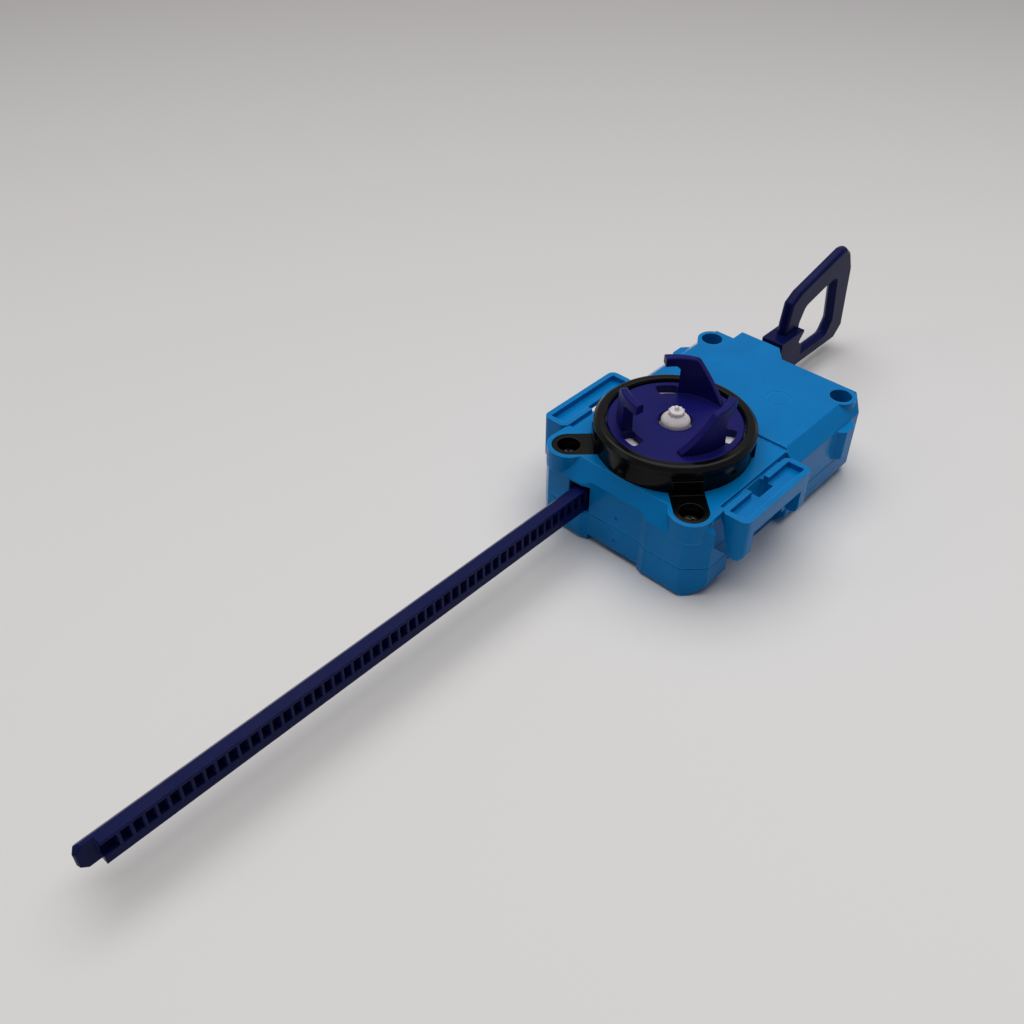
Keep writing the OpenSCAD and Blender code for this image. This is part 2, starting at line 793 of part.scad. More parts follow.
// One prong, its hook's root on the X axis, hook pointing counter-clockwise
module prong() {
    mean_r = prong_r - prong_t / 2;
    lean = asin((prong_l - hook_reach) / 2 / mean_r);
    tip = asin((mean_r * sin(lean) + hook_reach) / mean_r) - lean;
    translate([0, 0, disc_top]) intersection() {
        prong_wall();
        rotate(-lean) translate([mean_r, mean_r * sin(lean), 0]) rotate([90, 0, 90])
            linear_extrude(4 * prong_t, center = true) prong_profile();
        translate([0, 0, -over]) linear_extrude(prong_h + 2 * over) polygon([
            [0, 0],
            2 * prong_r * [cos(tip - 80), sin(tip - 80)],
            2.5 * prong_r * [cos(tip - 40), sin(tip - 40)],
            2 * prong_r * [cos(tip), sin(tip)]
        ]);
    }
}

// Window beside a hook, so that the mould can clear its underside
module prong_window() {
    in_r = prong_r - prong_t - 0.2;
    out_r = prong_r + 0.7;
    a0 = 2;
    a1 = 25;
    translate([0, 0, flange_top - over]) linear_extrude(disc_t + 2 * over) polygon(rounded(concat(
        [for (i = [0:6]) out_r * [cos(a0 + (a1 - a0) * i / 6), sin(a0 + (a1 - a0) * i / 6)]],
        [for (i = [0:6]) in_r * [cos(a1 + (a0 - a1) * i / 6), sin(a1 + (a0 - a1) * i / 6)]]
    ), 0.7, 2));
}

module prong_disc() {
    edge_r_disc = ring_hole_r - air;
    color(navy) difference() {
        union() {
            rotate_extrude($fn = 128) polygon([
                [eye_r, flange_top],
                [edge_r_disc, flange_top],
                [edge_r_disc, disc_top - 0.3],
                [edge_r_disc - 0.3, disc_top],
                [eye_r + 0.6, disc_top],
                [eye_r + 0.45, disc_top + 0.25],
                [eye_r + 0.15, disc_top + 0.25],
                [eye_r, disc_top]
            ]);
            for (k = [0:2]) rotate(hook_angle + 120 * k) prong();
        }
        for (k = [0:2]) rotate(hook_angle + 120 * k) prong_window();
        at_disc_screws() translate([0, 0, flange_top - over])
            cylinder(r = disc_screw_shank + run_gap / 2, h = disc_screw_up + over);
    }
}

module disc_screws() {
    color(steel) at_disc_screws() {
        translate([0, 0, flange_top - flange_t - disc_head_h]) cylinder(r = disc_screw_head, h = disc_head_h);
        translate([0, 0, flange_top - flange_t])
            cylinder(r = disc_screw_shank, h = flange_t + disc_screw_up - tip_gap);
    }
}

// Outline of an involute gear with a tooth on the X axis
function inv(rb, r) = let (p = acos(min(1, rb / r))) tan(p) * 180 / PI - p;
function tooth(n, rp, add, ded, play) =
    let (rb = rp * cos(tooth_angle), r0 = rp - ded, r1 = rp + add, steps = 4)
    let (half = 90 / n - play / 4 / rp * 180 / PI + inv(rb, rp))
    let (radii = [for (i = [0:steps]) r0 + (r1 - r0) * i / steps])
    concat(
        [for (i = [0:steps]) let (a = half - inv(rb, max(rb, radii[i]))) radii[i] * [cos(a), -sin(a)]],
        [for (i = [0:steps])
            let (r = radii[steps - i], a = half - inv(rb, max(rb, r))) r * [cos(a), sin(a)]]
    );
module gear_outline(n, rp, add, ded, phase) {
    one = tooth(n, rp, add, ded, mesh_play);
    polygon([for (k = [0:n - 1]) each [for (p = one) turned(p, phase + 360 * k / n)]]);
}

module spin_gear() {
    color(white) difference() {
        union() {
            translate([0, 0, wheel_z]) linear_extrude(wheel_t)
                gear_outline(spin_teeth, spin_r, wheel_add, wheel_ded, train_angle);
            translate([0, 0, wheel_z + wheel_t - lap])
                cylinder(r = neck_r, h = flange_top - wheel_z - wheel_t + lap);
            translate([0, 0, flange_top - flange_t]) cylinder(r = flange_r, h = flange_t, $fn = 128);
        }
        translate([0, 0, wheel_z - over]) cylinder(r = spindle_r + run_gap, h = deck_h);
        translate([0, 0, pocket_z]) cylinder(r = spring_pocket_r, h = deck_h);
        translate([0, 0, button_seat_z - button_travel - air])
            cylinder(r = button_flange_r + seat, h = deck_h);
        at_disc_screws() translate([0, 0, flange_top - flange_t - over])
            cylinder(r = disc_screw_shank + seat, h = flange_t + 2 * over);
    }
}

module drive_gear() {
    color(white) translate([gear_x, gear_y, 0]) difference() {
        union() {
            translate([0, 0, wheel_z]) linear_extrude(wheel_t)
                gear_outline(wheel_teeth, wheel_r, wheel_add, wheel_ded, wheel_phase);
            translate([0, 0, wheel_z + wheel_t - lap])
                cylinder(r = hub_r, h = pinion_z0 - wheel_z - wheel_t + 2 * lap);
            translate([0, 0, pinion_z0]) linear_extrude(pinion_z1 - pinion_z0)
                gear_outline(pinion_teeth, pinion_pitch_r, rack_add, rack_ded, pinion_phase);
            translate([0, 0, pinion_z1 - lap])
                cylinder(r = post_r, h = upper_boss_z - air - pinion_z1 + lap);
        }
        translate([0, 0, wheel_z - over]) cylinder(r = pinion_pin_r + run_gap, h = deck_h);
        // Weight-saving pockets in the wheel
        for (k = [0:5]) rotate(60 * k) translate([(hub_r + wheel_r) / 2, 0, wheel_z - over])
            cylinder(r = web_hole_r, h = wheel_t + 2 * over);
    }
}

module main_spindle() {
    color(steel) translate([0, 0, pin_seat]) cylinder(r = spindle_r, h = spindle_top - pin_seat);
}

module pinion_spindle() {
    color(steel) translate([gear_x, gear_y, pin_seat])
        cylinder(r = pinion_pin_r, h = upper_boss_z + pin_up - pin_seat);
}

module washer(pin_r) {
    difference() {
        cylinder(r = boss_r - 0.6, h = washer_t);
        translate([0, 0, -over]) cylinder(r = pin_r + run_gap / 2, h = washer_t + 2 * over);
    }
}

module spindle_washer() {
    color(steel) translate([0, 0, boss_top]) washer(spindle_r);
}

module pinion_washer() {
    color(steel) translate([gear_x, gear_y, boss_top]) washer(pinion_pin_r);
}

// Button with a domed shoulder, a ribbed crown and a small nib
module centre_button() {
    crown_z = disc_top + 0.74 * button_h;
    top = disc_top + button_h;
    shoulder = button_r - crown_r;
    nib_r = 0.7;
    ribs = 10;
    rib_w = 0.5;
    rib_out = 0.2;
    color(white) difference() {
        union() {
            rotate_extrude() polygon([
                [0, button_seat_z],
                [button_flange_r - seat, button_seat_z],
                [button_flange_r - seat, button_seat_z + button_flange_t],
                [button_r, button_seat_z + button_flange_t],
                [button_r, disc_top + 0.09 * button_h],
                [crown_r + 0.83 * shoulder, disc_top + 0.24 * button_h],
                [crown_r + 0.5 * shoulder, disc_top + 0.48 * button_h],
                [crown_r + 0.14 * shoulder, disc_top + 0.67 * button_h],
                [crown_r, crown_z],
                [crown_r - 0.1, top - rib_out],
                [crown_r - 0.1 - rib_out, top],
                [nib_r, top],
                [nib_r - 0.1, top + nib_h - 0.3],
                [nib_r - 0.4, top + nib_h],
                [0, top + nib_h]
            ]);
            for (k = [0:ribs - 1]) rotate(360 * k / ribs)
                translate([crown_r - rib_w, -rib_w / 2, crown_z - rib_w])
                    cube([rib_w + rib_out, rib_w, top - crown_z + rib_w - 2 * rib_out]);
        }
        translate([0, 0, button_seat_z - over]) cylinder(r = spring_pocket_r, h = over + button_cup);
    }
}

// Coil of the button spring: one unbroken tube along a helix with flat end turns
spring_z0 = pocket_z + spring_wire + 0.05;
spring_z1 = button_seat_z + button_cup - spring_wire - 0.05;
spring_rings = 8 * (spring_turns + 2);
function spring_rise(t) = let (u = (t * (spring_turns + 2) - 1) / spring_turns) max(0, min(1, u));
function end_lift(t) = (spring_wire * 2 + 0.5) * max(0, min(1, t * (spring_turns + 2)));
function spring_z(t) =
    let (span = spring_z1 - spring_z0 - 2 * end_lift(1))
    spring_z0 + end_lift(t) + span * spring_rise(t) + end_lift(1) - end_lift(1 - t);
function spring_point(t) =
    let (a = 360 * t * (spring_turns + 2)) [spring_r * cos(a), spring_r * sin(a), spring_z(t)];
function spring_ring(i) =
    let (a = 360 * i / 8, p = spring_point(i / spring_rings), e = [cos(a), sin(a), 0])
    [for (k = [0:5]) p + spring_wire * (cos(60 * k) * e + sin(60 * k) * [0, 0, 1])];

module button_spring() {
    n = spring_rings;
    points = [for (i = [0:n]) each spring_ring(i)];
    sides = [for (i = [0:n - 1]) for (k = [0:5]) each [
        [6 * i + k, 6 * i + 6 + (k + 1) % 6, 6 * i + (k + 1) % 6],
        [6 * i + k, 6 * i + 6 + k, 6 * i + 6 + (k + 1) % 6]
    ]];
    ends = [for (k = [1:4]) each [[0, k, k + 1], [6 * n, 6 * n + k + 1, 6 * n + k]]];
    color(steel) polyhedron(points, concat(sides, ends));
}

// Cross-section of the strip's core, seen along it
module strip_section() {
    cut = 1.5;
    polygon([
        [rack_root + 0.25, rack_z],
        [rack_back - cut, rack_z],
        [rack_back, rack_z + cut],
        [rack_back, rack_top - cut],
        [rack_back - cut, rack_top],
        [rack_root + 0.25, rack_top]
    ]);
}

// Toothed side of the strip, in plan
module strip_teeth() {
    tip = rack_pitch / 4 - rack_add * tan(tooth_angle) - mesh_play / 4;
    root = rack_pitch / 4 + rack_ded * tan(tooth_angle) - mesh_play / 4;
    polygon(concat(
        [[stop_x + 0.4, rack_root], [stop_x + 0.4, rack_root + 0.5], [-tip_x + nose_l, rack_root + 0.5]],
        [[-tip_x + nose_l, rack_root]],
        [for (k = [1:rack_teeth - 1]) let (x = first_tooth + k * rack_pitch) each [
            [x - root, rack_root], [x - tip, rack_y], [x + tip, rack_y], [x + root, rack_root]
        ]]
    ));
}

module winder() {
    flange_x = -tip_x + nose_l;
    flange_l = stop_x - flange_x + 0.5;
    color(navy) union() {
        intersection() {
            rotate([90, 0, 90]) translate([0, 0, -tip_x]) linear_extrude(tip_x + stop_x + lap)
                strip_section();
            translate([0, 0, rack_z - over]) linear_extrude(rack_h + 2 * over) strip_nose();
            rotate([90, 0, 0]) linear_extrude(8 * rack_back, center = true) strip_nose_side();
        }
        translate([0, 0, teeth_z0 - 0.2]) linear_extrude(teeth_z1 - teeth_z0 + 0.4) strip_teeth();
        translate([flange_x, rack_y, rack_z]) cube([flange_l, rack_root - rack_y + 0.6, rack_lip]);
        translate([flange_x, rack_y, teeth_z1]) cube([flange_l, rack_root - rack_y + 0.7, rack_cap]);
        stop_block();
        finger_loop();
    }
}

// Plan of the strip with its bevelled nose
module strip_nose() {
    cut = 1.5;
    polygon([
        [-tip_x, rack_root + cut * 0.6],
        [-tip_x + cut * 0.6, rack_root - over],
        [stop_x + over, rack_root - over],
        [stop_x + over, rack_back + over],
        [-tip_x + cut + over, rack_back + over],
        [-tip_x, rack_back - cut]
    ]);
}

// Side view of the strip with its bevelled nose
module strip_nose_side() {
    cut = 1.8;
    polygon([
        [-tip_x, rack_z + cut],
        [-tip_x + cut, rack_z],
        [stop_x + over, rack_z],
        [stop_x + over, rack_top],
        [-tip_x + cut, rack_top],
        [-tip_x, rack_top - cut]
    ]);
}

module stop_block() {
    y0 = loop_y - stop_w / 2;
    notch = 2.4;
    mid_z = stop_top - 3.6;
    end = stop_x + stop_l;
    translate([0, y0 + stop_w, 0]) rotate([90, 0, 0]) linear_extrude(stop_w) polygon(rounded([
        [stop_x, stop_base],
        [end, stop_base],
        [end, mid_z - 2.7],
        [end - notch, mid_z],
        [end, mid_z + 2.7],
        [end, stop_top],
        [stop_x, stop_top]
    ], 0.4));
}

// Outer outline of the finger loop, side view
function loop_outline() = [
    [stop_x + 3.4, stop_base + 2],
    [stop_x + 4.4, stop_top + 4],
    [stop_x + 5.6, loop_top - 8.2],
    [stop_x + 10.2, loop_top - 5.5],
    [loop_end - 10.6, loop_top],
    [loop_end - 8, loop_top - 0.3],
    [loop_end - 4.6, loop_top - 3.2],
    [loop_end - 2, loop_top - 9],
    [loop_end, loop_base + 4.2],
    [loop_end - 4.4, loop_base],
    [stop_x + 14, loop_base + 0.3]
];

// Finger opening, side view
function loop_opening() = [
    [stop_x + stop_l + 0.5, loop_base + 9],
    [stop_x + stop_l + 0.5, stop_top + 1.6],
    [stop_x + stop_l + 2.6, loop_top - 13.6],
    [loop_end - loop_bar - 3.8, loop_top - 10],
    [loop_end - loop_bar - 1.2, loop_base + 9.6],
    [loop_end - loop_bar - 3.4, loop_base + 5.8],
    [stop_x + stop_l + 3.4, loop_base + 6]
];

module loop_side(p, t, r) {
    translate([0, loop_y + t / 2, 0]) rotate([90, 0, 0]) linear_extrude(t) polygon(rounded(p, r));
}

// One layer of the loop's rounded outside: its thickness and how far it is drawn in
module loop_layer(t, inset) {
    translate([0, loop_y + t / 2, 0]) rotate([90, 0, 0]) linear_extrude(t)
        offset(delta = -inset) polygon(rounded(loop_outline(), 1.2));
}

// Thin slice of the opening, grown: two of them span a bevel of its edge
module opening_slab(y, grow) {
    translate([0, y, 0]) rotate([90, 0, 0]) linear_extrude(0.1, center = true)
        offset(delta = grow) polygon(rounded(loop_opening(), 1.6));
}

module finger_loop() {
    flare = loop_bevel + air;
    slab_t = 0.1;
    difference() {
        hull() {
            loop_layer(loop_t * 0.25, 0);
            loop_layer(loop_t * 0.68, loop_bevel * 0.35);
            loop_layer(loop_t, loop_bevel * 1.3);
        }
        loop_side(loop_opening(), 3 * loop_t, 1.6);
        for (s = [-1, 1]) hull() {
            opening_slab(loop_y + s * (loop_t / 2 - flare), 0);
            opening_slab(loop_y + s * (loop_t / 2 + slab_t), flare + slab_t);
        }
    }
}

upper_housing();
lower_housing();
retainer_ring();
ring_screws();
rear_screws();
prong_disc();
spin_gear();
disc_screws();
centre_button();
button_spring();
drive_gear();
main_spindle();
pinion_spindle();
spindle_washer();
pinion_washer();
winder();
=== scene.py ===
"""Dresses the spinning top launcher: plastics and steels, a fluted button, a spring and a pale studio."""
import json
import math

import bpy
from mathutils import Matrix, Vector


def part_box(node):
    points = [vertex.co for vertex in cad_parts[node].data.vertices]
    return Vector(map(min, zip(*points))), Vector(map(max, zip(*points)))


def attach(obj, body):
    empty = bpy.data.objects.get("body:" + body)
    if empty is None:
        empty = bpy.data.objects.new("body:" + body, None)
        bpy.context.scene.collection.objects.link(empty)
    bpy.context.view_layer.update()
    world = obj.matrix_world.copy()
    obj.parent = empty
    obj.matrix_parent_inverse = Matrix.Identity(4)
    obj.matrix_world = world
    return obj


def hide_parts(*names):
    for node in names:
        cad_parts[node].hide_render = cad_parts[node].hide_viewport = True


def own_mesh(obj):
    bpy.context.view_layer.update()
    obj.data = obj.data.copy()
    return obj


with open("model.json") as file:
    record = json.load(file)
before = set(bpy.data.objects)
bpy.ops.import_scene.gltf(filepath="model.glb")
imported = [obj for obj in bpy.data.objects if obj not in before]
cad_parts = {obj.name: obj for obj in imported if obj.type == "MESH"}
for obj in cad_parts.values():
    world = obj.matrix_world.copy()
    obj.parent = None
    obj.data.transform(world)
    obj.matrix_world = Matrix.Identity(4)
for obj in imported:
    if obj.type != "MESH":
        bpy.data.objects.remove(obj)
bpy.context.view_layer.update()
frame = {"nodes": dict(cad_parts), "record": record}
nodes = frame["nodes"]
scene = bpy.context.scene

MM = 0.001
FULL_TURN = 2 * math.pi


# Shader nodes

# Most of a noise texture's values lie between these
NOISE_LOW, NOISE_HIGH = 0.3, 0.7
# Cosine between the rounded and the plain normal, on a sharp edge and on a flat
EDGE_COSINE, FLAT_COSINE = 0.75, 0.99
BEVEL_SAMPLES = 6
# Numbers of a mix node's colour sockets
MIX_A, MIX_B, MIX_RESULT = 6, 7, 2


class Tree:
    """The node tree of a material or of the world, with short helpers."""

    def __init__(self, owner, shader="Principled BSDF"):
        owner.use_nodes = True
        self.owner = owner
        self.nodes = owner.node_tree.nodes
        self.links = owner.node_tree.links
        self.shader = self.nodes[shader]
        self.place = self.node("ShaderNodeTexCoord").outputs["Object"]

    def feed(self, socket, value):
        """Links a node's output to a socket, or sets the socket to a constant."""
        if isinstance(value, bpy.types.NodeSocket):
            self.links.new(value, socket)
        elif socket.type == "RGBA":
            socket.default_value = (*value, 1.0)
        else:
            socket.default_value = value

    def node(self, kind, inputs=None, **settings):
        """A new node with these settings, and with its inputs fed by name or number."""
        node = self.nodes.new(kind)
        for key, value in settings.items():
            setattr(node, key, value)
        for key, value in (inputs or {}).items():
            self.feed(node.inputs[key], value)
        return node

    def paint(self, sockets):
        """Feeds the shader's sockets, and returns the finished material or world."""
        for key, value in sockets.items():
            self.feed(self.shader.inputs[key], value)
        return self.owner

    def noise(self, scale, detail=3.0, distortion=0.0, stretch=None):
        """Soft noise, with its scale in features to the metre."""
        place = self.place
        if stretch:
            place = self.node("ShaderNodeMapping", {"Vector": place, "Scale": stretch}).outputs["Vector"]
        inputs = {"Vector": place, "Scale": scale, "Detail": detail, "Distortion": distortion}
        return self.node("ShaderNodeTexNoise", inputs).outputs["Fac"]

    def remap(self, value, low, high, from_low=NOISE_LOW, from_high=NOISE_HIGH, curve="LINEAR"):
        """Takes a value from one range to another, and holds it at the ends."""
        inputs = {
            "Value": value, "From Min": from_low, "From Max": from_high,
            "To Min": low, "To Max": high,
        }
        return self.node("ShaderNodeMapRange", inputs, interpolation_type=curve).outputs["Result"]

    def mix(self, factor, a, b):
        """Goes from colour a to colour b."""
        inputs = {"Factor": factor, MIX_A: a, MIX_B: b}
        return self.node("ShaderNodeMix", inputs, data_type="RGBA").outputs[MIX_RESULT]

    def calc(self, operation, a, b):
        return self.node("ShaderNodeMath", {0: a, 1: b}, operation=operation).outputs["Value"]

    def dot(self, a, b):
        return self.node("ShaderNodeVectorMath", {0: a, 1: b}, operation="DOT_PRODUCT").outputs["Value"]

    def bump(self, height, strength, depth, normal):
        inputs = {"Height": height, "Strength": strength, "Distance": depth, "Normal": normal}
        return self.node("ShaderNodeBump", inputs).outputs["Normal"]

    def edges(self, radius):
        """A normal that is rounded at the edges, and a mask that is 1 along the sharp ones."""
        rounded = self.node("ShaderNodeBevel", {"Radius": radius}, samples=BEVEL_SAMPLES).outputs["Normal"]
        plain = self.node("ShaderNodeNewGeometry").outputs["Normal"]
        return rounded, self.remap(self.dot(rounded, plain), 1.0, 0.0, EDGE_COSINE, FLAT_COSINE)

    def background_rays(self):
        """1 for the rays that see the background, directly or in a gloss, and 0 for those that light."""
        path = self.node("ShaderNodeLightPath").outputs
        seen = self.calc("MAXIMUM", path["Is Camera Ray"], path["Is Glossy Ray"])
        return self.calc("MAXIMUM", seen, path["Is Transmission Ray"])


# Materials

BLUE = (0.0, 0.184, 0.505)
DISC_NAVY = (0.008, 0.008, 0.118)
STRIP_NAVY = (0.003, 0.006, 0.062)
BLACK = (0.0016, 0.0016, 0.0018)
WHITE = (0.79, 0.742, 0.757)
BRIGHT_STEEL = (0.60, 0.61, 0.63)
BLACK_STEEL = (0.22, 0.22, 0.23)

PLASTIC_EDGE_R, MILKY_EDGE_R, STEEL_EDGE_R = 0.45 * MM, 0.25 * MM, 0.15 * MM
# Grey that the painted edge highlight adds
HIGHLIGHT_GREY = 0.012
GRAIN_DEPTH, WAVE_DEPTH = 0.05 * MM, 0.12 * MM
MILKY_GRAIN_DEPTH, MILKY_GLOW_DEPTH = 0.04 * MM, 2.2 * MM
TOOL_MARK_DEPTH = 0.03 * MM


def scaled(color, factor):
    return tuple(min(1.0, c * factor) for c in color)


def highlight_color(color, lift):
    """The paler colour painted along sharp edges as a highlight."""
    return tuple(min(1.0, c * (1.0 + lift) + HIGHLIGHT_GREY * lift) for c in color)


def moulded_plastic(name, color, rough, highlight_lift, specular, flow=0.07, grain=0.02):
    """Moulded plastic: faint flow marks, uneven polish, a fine grain and sharp edges painted paler as a
    highlight.
    """
    t = Tree(bpy.data.materials.new(name))
    normal, edge = t.edges(PLASTIC_EDGE_R)
    flow_marks = t.noise(scale=38.0, detail=4.0, distortion=1.6, stretch=(1.0, 1.6, 0.7))
    body = t.mix(t.remap(flow_marks, 0.0, 1.0), scaled(color, 1.0 - flow), scaled(color, 1.0 + flow))
    # Painted highlight: sharp edges turn paler, in patches set by noise
    painted_edge_highlight = t.calc("MULTIPLY", edge, t.remap(t.noise(scale=260.0), 0.5, 1.0))
    polish = t.noise(scale=120.0, detail=5.0, distortion=0.4)
    waves = t.noise(scale=55.0, detail=2.0, distortion=0.8)
    fine = t.noise(scale=2600.0, detail=2.0)
    grained = t.bump(fine, strength=grain, depth=GRAIN_DEPTH, normal=normal)
    return t.paint({
        "Base Color": t.mix(painted_edge_highlight, body, highlight_color(color, highlight_lift)),
        "Roughness": t.remap(polish, rough - 0.05, rough + 0.06),
        "Normal": t.bump(waves, strength=0.10, depth=WAVE_DEPTH, normal=grained),
        "Specular IOR Level": specular,
    })


def milky_plastic(name, color):
    """Unpainted white plastic that lets a little light in, with sharp edges painted paler as a highlight.
    """
    t = Tree(bpy.data.materials.new(name))
    normal, edge = t.edges(MILKY_EDGE_R)
    clouds = t.noise(scale=70.0, distortion=0.6)
    fine = t.noise(scale=1800.0, detail=2.0)
    body = t.mix(t.remap(clouds, 0.0, 1.0), scaled(color, 0.93), scaled(color, 1.04))
    return t.paint({
        # Painted highlight: sharp edges are paler
        "Base Color": t.mix(edge, body, scaled(color, 1.1)),
        "Roughness": t.remap(t.noise(scale=300.0), 0.34, 0.46),
        "Normal": t.bump(fine, strength=0.03, depth=MILKY_GRAIN_DEPTH, normal=normal),
        "Subsurface Weight": 1.0,
        "Subsurface Scale": MILKY_GLOW_DEPTH,
        "Subsurface Radius": (1.0, 0.9, 0.85),
    })


def screw_steel(name, color, rough):
    """Turned steel with fine rings of tool marks and sharp edges painted paler as a highlight."""
    t = Tree(bpy.data.materials.new(name))
    normal, edge = t.edges(STEEL_EDGE_R)
    stains = t.noise(scale=500.0, detail=4.0)
    body = t.mix(t.remap(stains, 0.0, 1.0), scaled(color, 0.85), scaled(color, 1.12))
    polish = t.noise(scale=900.0, detail=2.0, stretch=(1.0, 1.0, 6.0))
    tool_marks = t.noise(scale=1500.0, detail=1.0, stretch=(1.0, 1.0, 8.0))
    return t.paint({
        # Painted highlight: sharp edges are paler
        "Base Color": t.mix(edge, body, scaled(color, 1.5)),
        "Roughness": t.remap(polish, rough - 0.07, rough + 0.09),
        "Normal": t.bump(tool_marks, strength=0.04, depth=TOOL_MARK_DEPTH, normal=normal),
        "Metallic": 1.0,
    })


materials = {
    "blue_plastic": moulded_plastic(
        "blue_moulded_plastic", BLUE, rough=0.22, highlight_lift=1.5, specular=0.09),
    "navy_plastic": moulded_plastic(
        "navy_strip_plastic", STRIP_NAVY, rough=0.30, highlight_lift=0.35, specular=0.06, flow=0.1),
    "black_plastic": moulded_plastic(
        "black_gloss_plastic", BLACK, rough=0.18, highlight_lift=0.6, specular=0.13, flow=0.05, grain=0.01),
    "white_plastic": milky_plastic("milky_white_plastic", WHITE),
    "black_steel": screw_steel("blackened_steel", BLACK_STEEL, rough=0.2),
    "bright_steel": screw_steel("bright_steel", BRIGHT_STEEL, rough=0.28),
}

own_materials = {
    "prong_disc": moulded_plastic(
        "navy_disc_plastic", DISC_NAVY, rough=0.32, highlight_lift=0.5, specular=0.07, flow=0.08),
}

for part in frame["record"]["subparts"]:
    piece = nodes[part["node"]]
    piece.data.materials.clear()
    piece.data.materials.append(own_materials.get(part["node"], materials[part["material_slot"]]))


# Objects and meshes

def add_object(name, data):
    """A new object in the scene."""
    obj = bpy.data.objects.new(name, data)
    scene.collection.objects.link(obj)
    return obj


def add_mesh(name, points, faces, material):
    """A new mesh object of one material."""
    mesh = bpy.data.meshes.new(name)
    mesh.from_pydata(points, [], faces)
    mesh.materials.append(material)
    return add_object(name, mesh)


def aim(obj, place, direction):
    """Puts a lamp or a camera at a place, looking along a direction."""
    obj.location = place
    obj.rotation_mode = "QUATERNION"
    obj.rotation_quaternion = direction.to_track_quat("-Z", "Y")


def around(radius, turn, z):
    """The point at a radius from the Z axis, a share of a turn and a height."""
    return (radius * math.cos(FULL_TURN * turn), radius * math.sin(FULL_TURN * turn), z)


def fan(centre, start, sides):
    """Triangles from a centre point to the ring of points that begins at start."""
    return [(centre, start + k, start + (k + 1) % sides) for k in range(sides)]


def bands(start, rings, sides):
    """Quads from each ring of points to the next, the first of which begins at start."""
    return [
        (a + k, a + sides + k, a + sides + (k + 1) % sides, a + (k + 1) % sides)
        for a in range(start, start + (rings - 1) * sides, sides)
        for k in range(sides)
    ]


# Button spring

WIRE_R, WIRE_SIDES = 0.3 * MM, 12
SPRING_TURNS, TURN_STEPS = 6, 40
# Air between the turn at each end and the next one
END_GAP = 0.5 * MM


def spring_coil():
    """The button's coil as a smooth round wire."""
    low, high = (Vector(corner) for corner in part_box("button_spring"))
    coil_r = (high.x - low.x) / 2 - WIRE_R
    end_rise = 2 * WIRE_R + END_GAP
    open_rise = high.z - low.z - 2 * WIRE_R - 2 * end_rise
    open_turns = SPRING_TURNS - 2
    rings = SPRING_TURNS * TURN_STEPS + 1
    points = []
    for i in range(rings):
        turn = i / TURN_STEPS
        ends = min(1.0, turn) + max(0.0, turn - open_turns - 1)
        open_share = min(1.0, max(0.0, (turn - 1) / open_turns))
        z = low.z + WIRE_R + end_rise * ends + open_rise * open_share
        for k in range(WIRE_SIDES):
            out, up, _ = around(WIRE_R, k / WIRE_SIDES, 0.0)
            points.append(around(coil_r + out, turn, z + up))
    last = (rings - 1) * WIRE_SIDES
    caps = [tuple(range(WIRE_SIDES)), tuple(reversed(range(last, last + WIRE_SIDES)))]
    coil = add_mesh("spring_coil", points, bands(0, rings, WIRE_SIDES) + caps, materials["bright_steel"])
    coil.data.shade_smooth()
    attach(coil, "spinner")
    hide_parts("button_spring")
    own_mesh(coil)


spring_coil()


# Centre button

FLANGE_T, CUP_R, CUP_H = 1.3 * MM, 3.35 * MM, 0.8 * MM
BUTTON_R, CROWN_R, NIB_R, NIB_H = 3.95 * MM, 1.95 * MM, 0.6 * MM, 1.2 * MM
# The dome's foot below the crown's top, its height, and the power of its curve
DOME_FOOT, DOME_H, DOME_BOW = 3.185 * MM, 1.96 * MM, 1.6
# Spread and rise of the hollow round the nib's foot
NIB_FILLET = ((0.0, 0.30 * MM), (0.08 * MM, 0.08 * MM), (0.30 * MM, 0.0))
# Inset, drop and share of the flutes down the crown's rounded edge
CROWN_EDGE = ((0.22 * MM, 0.0, 0.6), (0.06 * MM, 0.12 * MM, 0.9), (0.0, 0.30 * MM, 1.0))
FLUTES, FLUTE_H = 10, 0.3 * MM
BUTTON_SIDES, DOME_STEPS = 160, 12
BUTTON_SHARP = math.radians(50)


def button_profile():
    """Rows of (radius, height, share of the flutes), from the nib's tip down to the cup's ceiling."""
    low, high = (Vector(corner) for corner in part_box("centre_button"))
    flange_r = (high.x - low.x) / 2
    top = high.z - NIB_H
    shares = [i / DOME_STEPS for i in range(DOME_STEPS + 1)]
    rows = []
    for u in shares:
        a = math.pi / 2 * u
        rows.append((NIB_R * math.sin(a), high.z - NIB_R + NIB_R * math.cos(a), 0.0))
    rows += [(NIB_R + spread, top + rise, 0.0) for spread, rise in NIB_FILLET]
    rows += [(CROWN_R - inset, top - drop, share) for inset, drop, share in CROWN_EDGE]
    for u in reversed(shares):
        radius = CROWN_R + (BUTTON_R - CROWN_R) * (1 - u ** DOME_BOW)
        rows.append((radius, top - DOME_FOOT + DOME_H * u, u ** 2))
    return rows + [
        (BUTTON_R, low.z + FLANGE_T, 0.0), (flange_r, low.z + FLANGE_T, 0.0), (flange_r, low.z, 0.0),
        (CUP_R, low.z, 0.0), (CUP_R, low.z + CUP_H, 0.0), (0.0, low.z + CUP_H, 0.0),
    ]


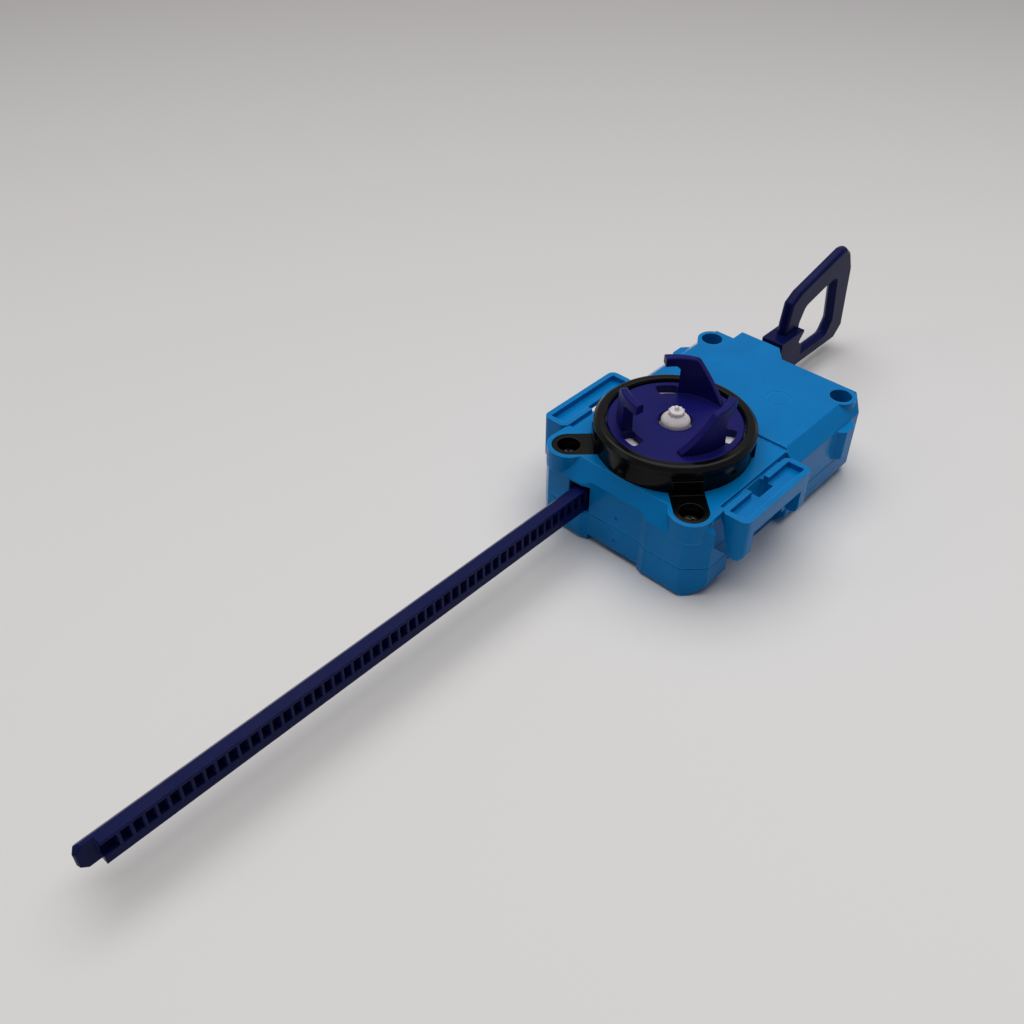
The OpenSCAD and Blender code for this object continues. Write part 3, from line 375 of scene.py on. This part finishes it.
def fluted_button():
    """The white button with soft flutes round its crown."""
    tip, *rings, ceiling = button_profile()
    points = [(0.0, 0.0, tip[1])]
    for radius, height, share in rings:
        for k in range(BUTTON_SIDES):
            turn = k / BUTTON_SIDES
            flute = FLUTE_H * share * (0.5 + 0.5 * math.cos(FULL_TURN * FLUTES * turn))
            points.append(around(radius + flute, turn, height))
    points.append((0.0, 0.0, ceiling[1]))
    centre = len(points) - 1
    under = [tuple(reversed(face)) for face in fan(centre, centre - BUTTON_SIDES, BUTTON_SIDES)]
    faces = fan(0, 1, BUTTON_SIDES) + bands(1, len(rings), BUTTON_SIDES) + under
    button = add_mesh("fluted_button", points, faces, materials["white_plastic"])
    button.data.shade_smooth()
    button.data.set_sharp_from_angle(angle=BUTTON_SHARP)
    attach(button, "button")
    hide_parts("centre_button")


fluted_button()


# The photograph's view

CAMERA_PLACE = Vector((-201.64, -128.44, 204.44)) * MM
YAW, PITCH = math.radians(43.059), math.radians(41.023)
FOCAL_PX, FRAME_PX, SENSOR_MM = 1082.575, 1024, 36.0
CLIP_START, CLIP_END = 0.01, 20.0

camera_data = bpy.data.cameras.new("camera")
camera_data.sensor_width = SENSOR_MM
camera_data.lens = SENSOR_MM * FOCAL_PX / FRAME_PX
camera_data.clip_start, camera_data.clip_end = CLIP_START, CLIP_END
camera = add_object("camera", camera_data)
forward = Vector((math.cos(PITCH) * math.cos(YAW), math.cos(PITCH) * math.sin(YAW), -math.sin(PITCH)))
aim(camera, CAMERA_PLACE, forward)
scene.camera = camera


# Floor

FLOOR_R, FLOOR_RINGS, FLOOR_SIDES = 4.0, 24, 64
TO_BACK = (math.cos(YAW), math.sin(YAW), 0.0)
TO_RIGHT = (math.sin(YAW), -math.cos(YAW), 0.0)
# Painted shade: the paper's colours near and far, on the left and on the right
NEAR_LEFT, NEAR_RIGHT = (0.855, 0.841, 0.826), (0.905, 0.89, 0.885)
FAR_LEFT, FAR_RIGHT = (0.515, 0.489, 0.496), (0.50, 0.476, 0.482)
# Metres towards the back, to each side, and from the launcher
FADE_START, FADE_END = -0.25, 0.65
SIDE_REACH = 0.16
HAZE_START, HAZE_END = 0.6, 2.2
SIDE_SHARE, FIBRE_SHARE = 0.94, 0.06
HAZE_COLOR, HAZE_STRENGTH = (1.0, 0.975, 0.97), 0.42


def pale_paper():
    """Pale paper with painted shade, darker towards the back and changing from side to side, and a painted
    far glow that lights nothing.
    """
    t = Tree(bpy.data.materials.new("pale_paper"))
    # Painted shade: the paper darkens towards the back
    painted_back_shade = t.remap(t.dot(t.place, TO_BACK), 0.0, 1.0, FADE_START, FADE_END, curve="SMOOTHSTEP")
    # Painted shade that changes from side to side, plus random paper fibre
    side = t.remap(t.dot(t.place, TO_RIGHT), 0.0, SIDE_SHARE, -SIDE_REACH, SIDE_REACH)
    side_shade_and_fibre = t.calc("ADD", side, t.calc("MULTIPLY", t.noise(scale=14.0, detail=4.0), FIBRE_SHARE))
    near = t.mix(side_shade_and_fibre, NEAR_LEFT, NEAR_RIGHT)
    far = t.mix(side_shade_and_fibre, FAR_LEFT, FAR_RIGHT)
    distance = t.node("ShaderNodeVectorMath", {0: t.place}, operation="LENGTH").outputs["Value"]
    # Painted glow: the far floor glows for the camera and in reflections, and lights nothing
    haze = t.remap(distance, 0.0, HAZE_STRENGTH, HAZE_START, HAZE_END)
    return t.paint({
        "Base Color": t.mix(painted_back_shade, near, far),
        "Emission Color": HAZE_COLOR,
        "Emission Strength": t.calc("MULTIPLY", haze, t.background_rays()),
        "Roughness": 0.75,
        "Specular IOR Level": 0.15,
    })


def studio_floor():
    """A round sheet of pale paper under the launcher."""
    points = [(0.0, 0.0, 0.0)]
    for i in range(1, FLOOR_RINGS + 1):
        radius = FLOOR_R * (i / FLOOR_RINGS) ** 2
        points += [around(radius, k / FLOOR_SIDES, 0.0) for k in range(FLOOR_SIDES)]
    faces = fan(0, 1, FLOOR_SIDES) + bands(1, FLOOR_RINGS, FLOOR_SIDES)
    floor = add_mesh("studio_floor", points, faces, pale_paper())


studio_floor()


# Light

LIGHT_TARGET = Vector((0.02, 0.0, 0.02))
WORLD_COLOR = (1.0, 0.985, 0.975)
# Strength for the rays that light, and for those that see the background
WORLD_LIGHT, WORLD_SEEN = 0.08, 0.48


def soft_light(name, place, size, power):
    """A round soft lamp that looks at the launcher."""
    lamp = bpy.data.lights.new(name, "AREA")
    lamp.shape = "DISK"
    lamp.size = size
    lamp.energy = power
    aim(add_object(name, lamp), place, LIGHT_TARGET - Vector(place))


def studio_world():
    """Faint light from all round, with a paler background where it is only seen."""
    t = Tree(bpy.data.worlds.new("studio"), "Background")
    strength = t.remap(t.background_rays(), WORLD_LIGHT, WORLD_SEEN, 0.0, 1.0)
    scene.world = t.paint({"Color": WORLD_COLOR, "Strength": strength})


soft_light("key_softbox", place=(0.15, 0.12, 1.0), size=1.4, power=10.8)
soft_light("fill_softbox", place=(-0.62, 0.50, 0.50), size=0.34, power=0.32)
studio_world()
scene.view_settings.view_transform = "Standard"
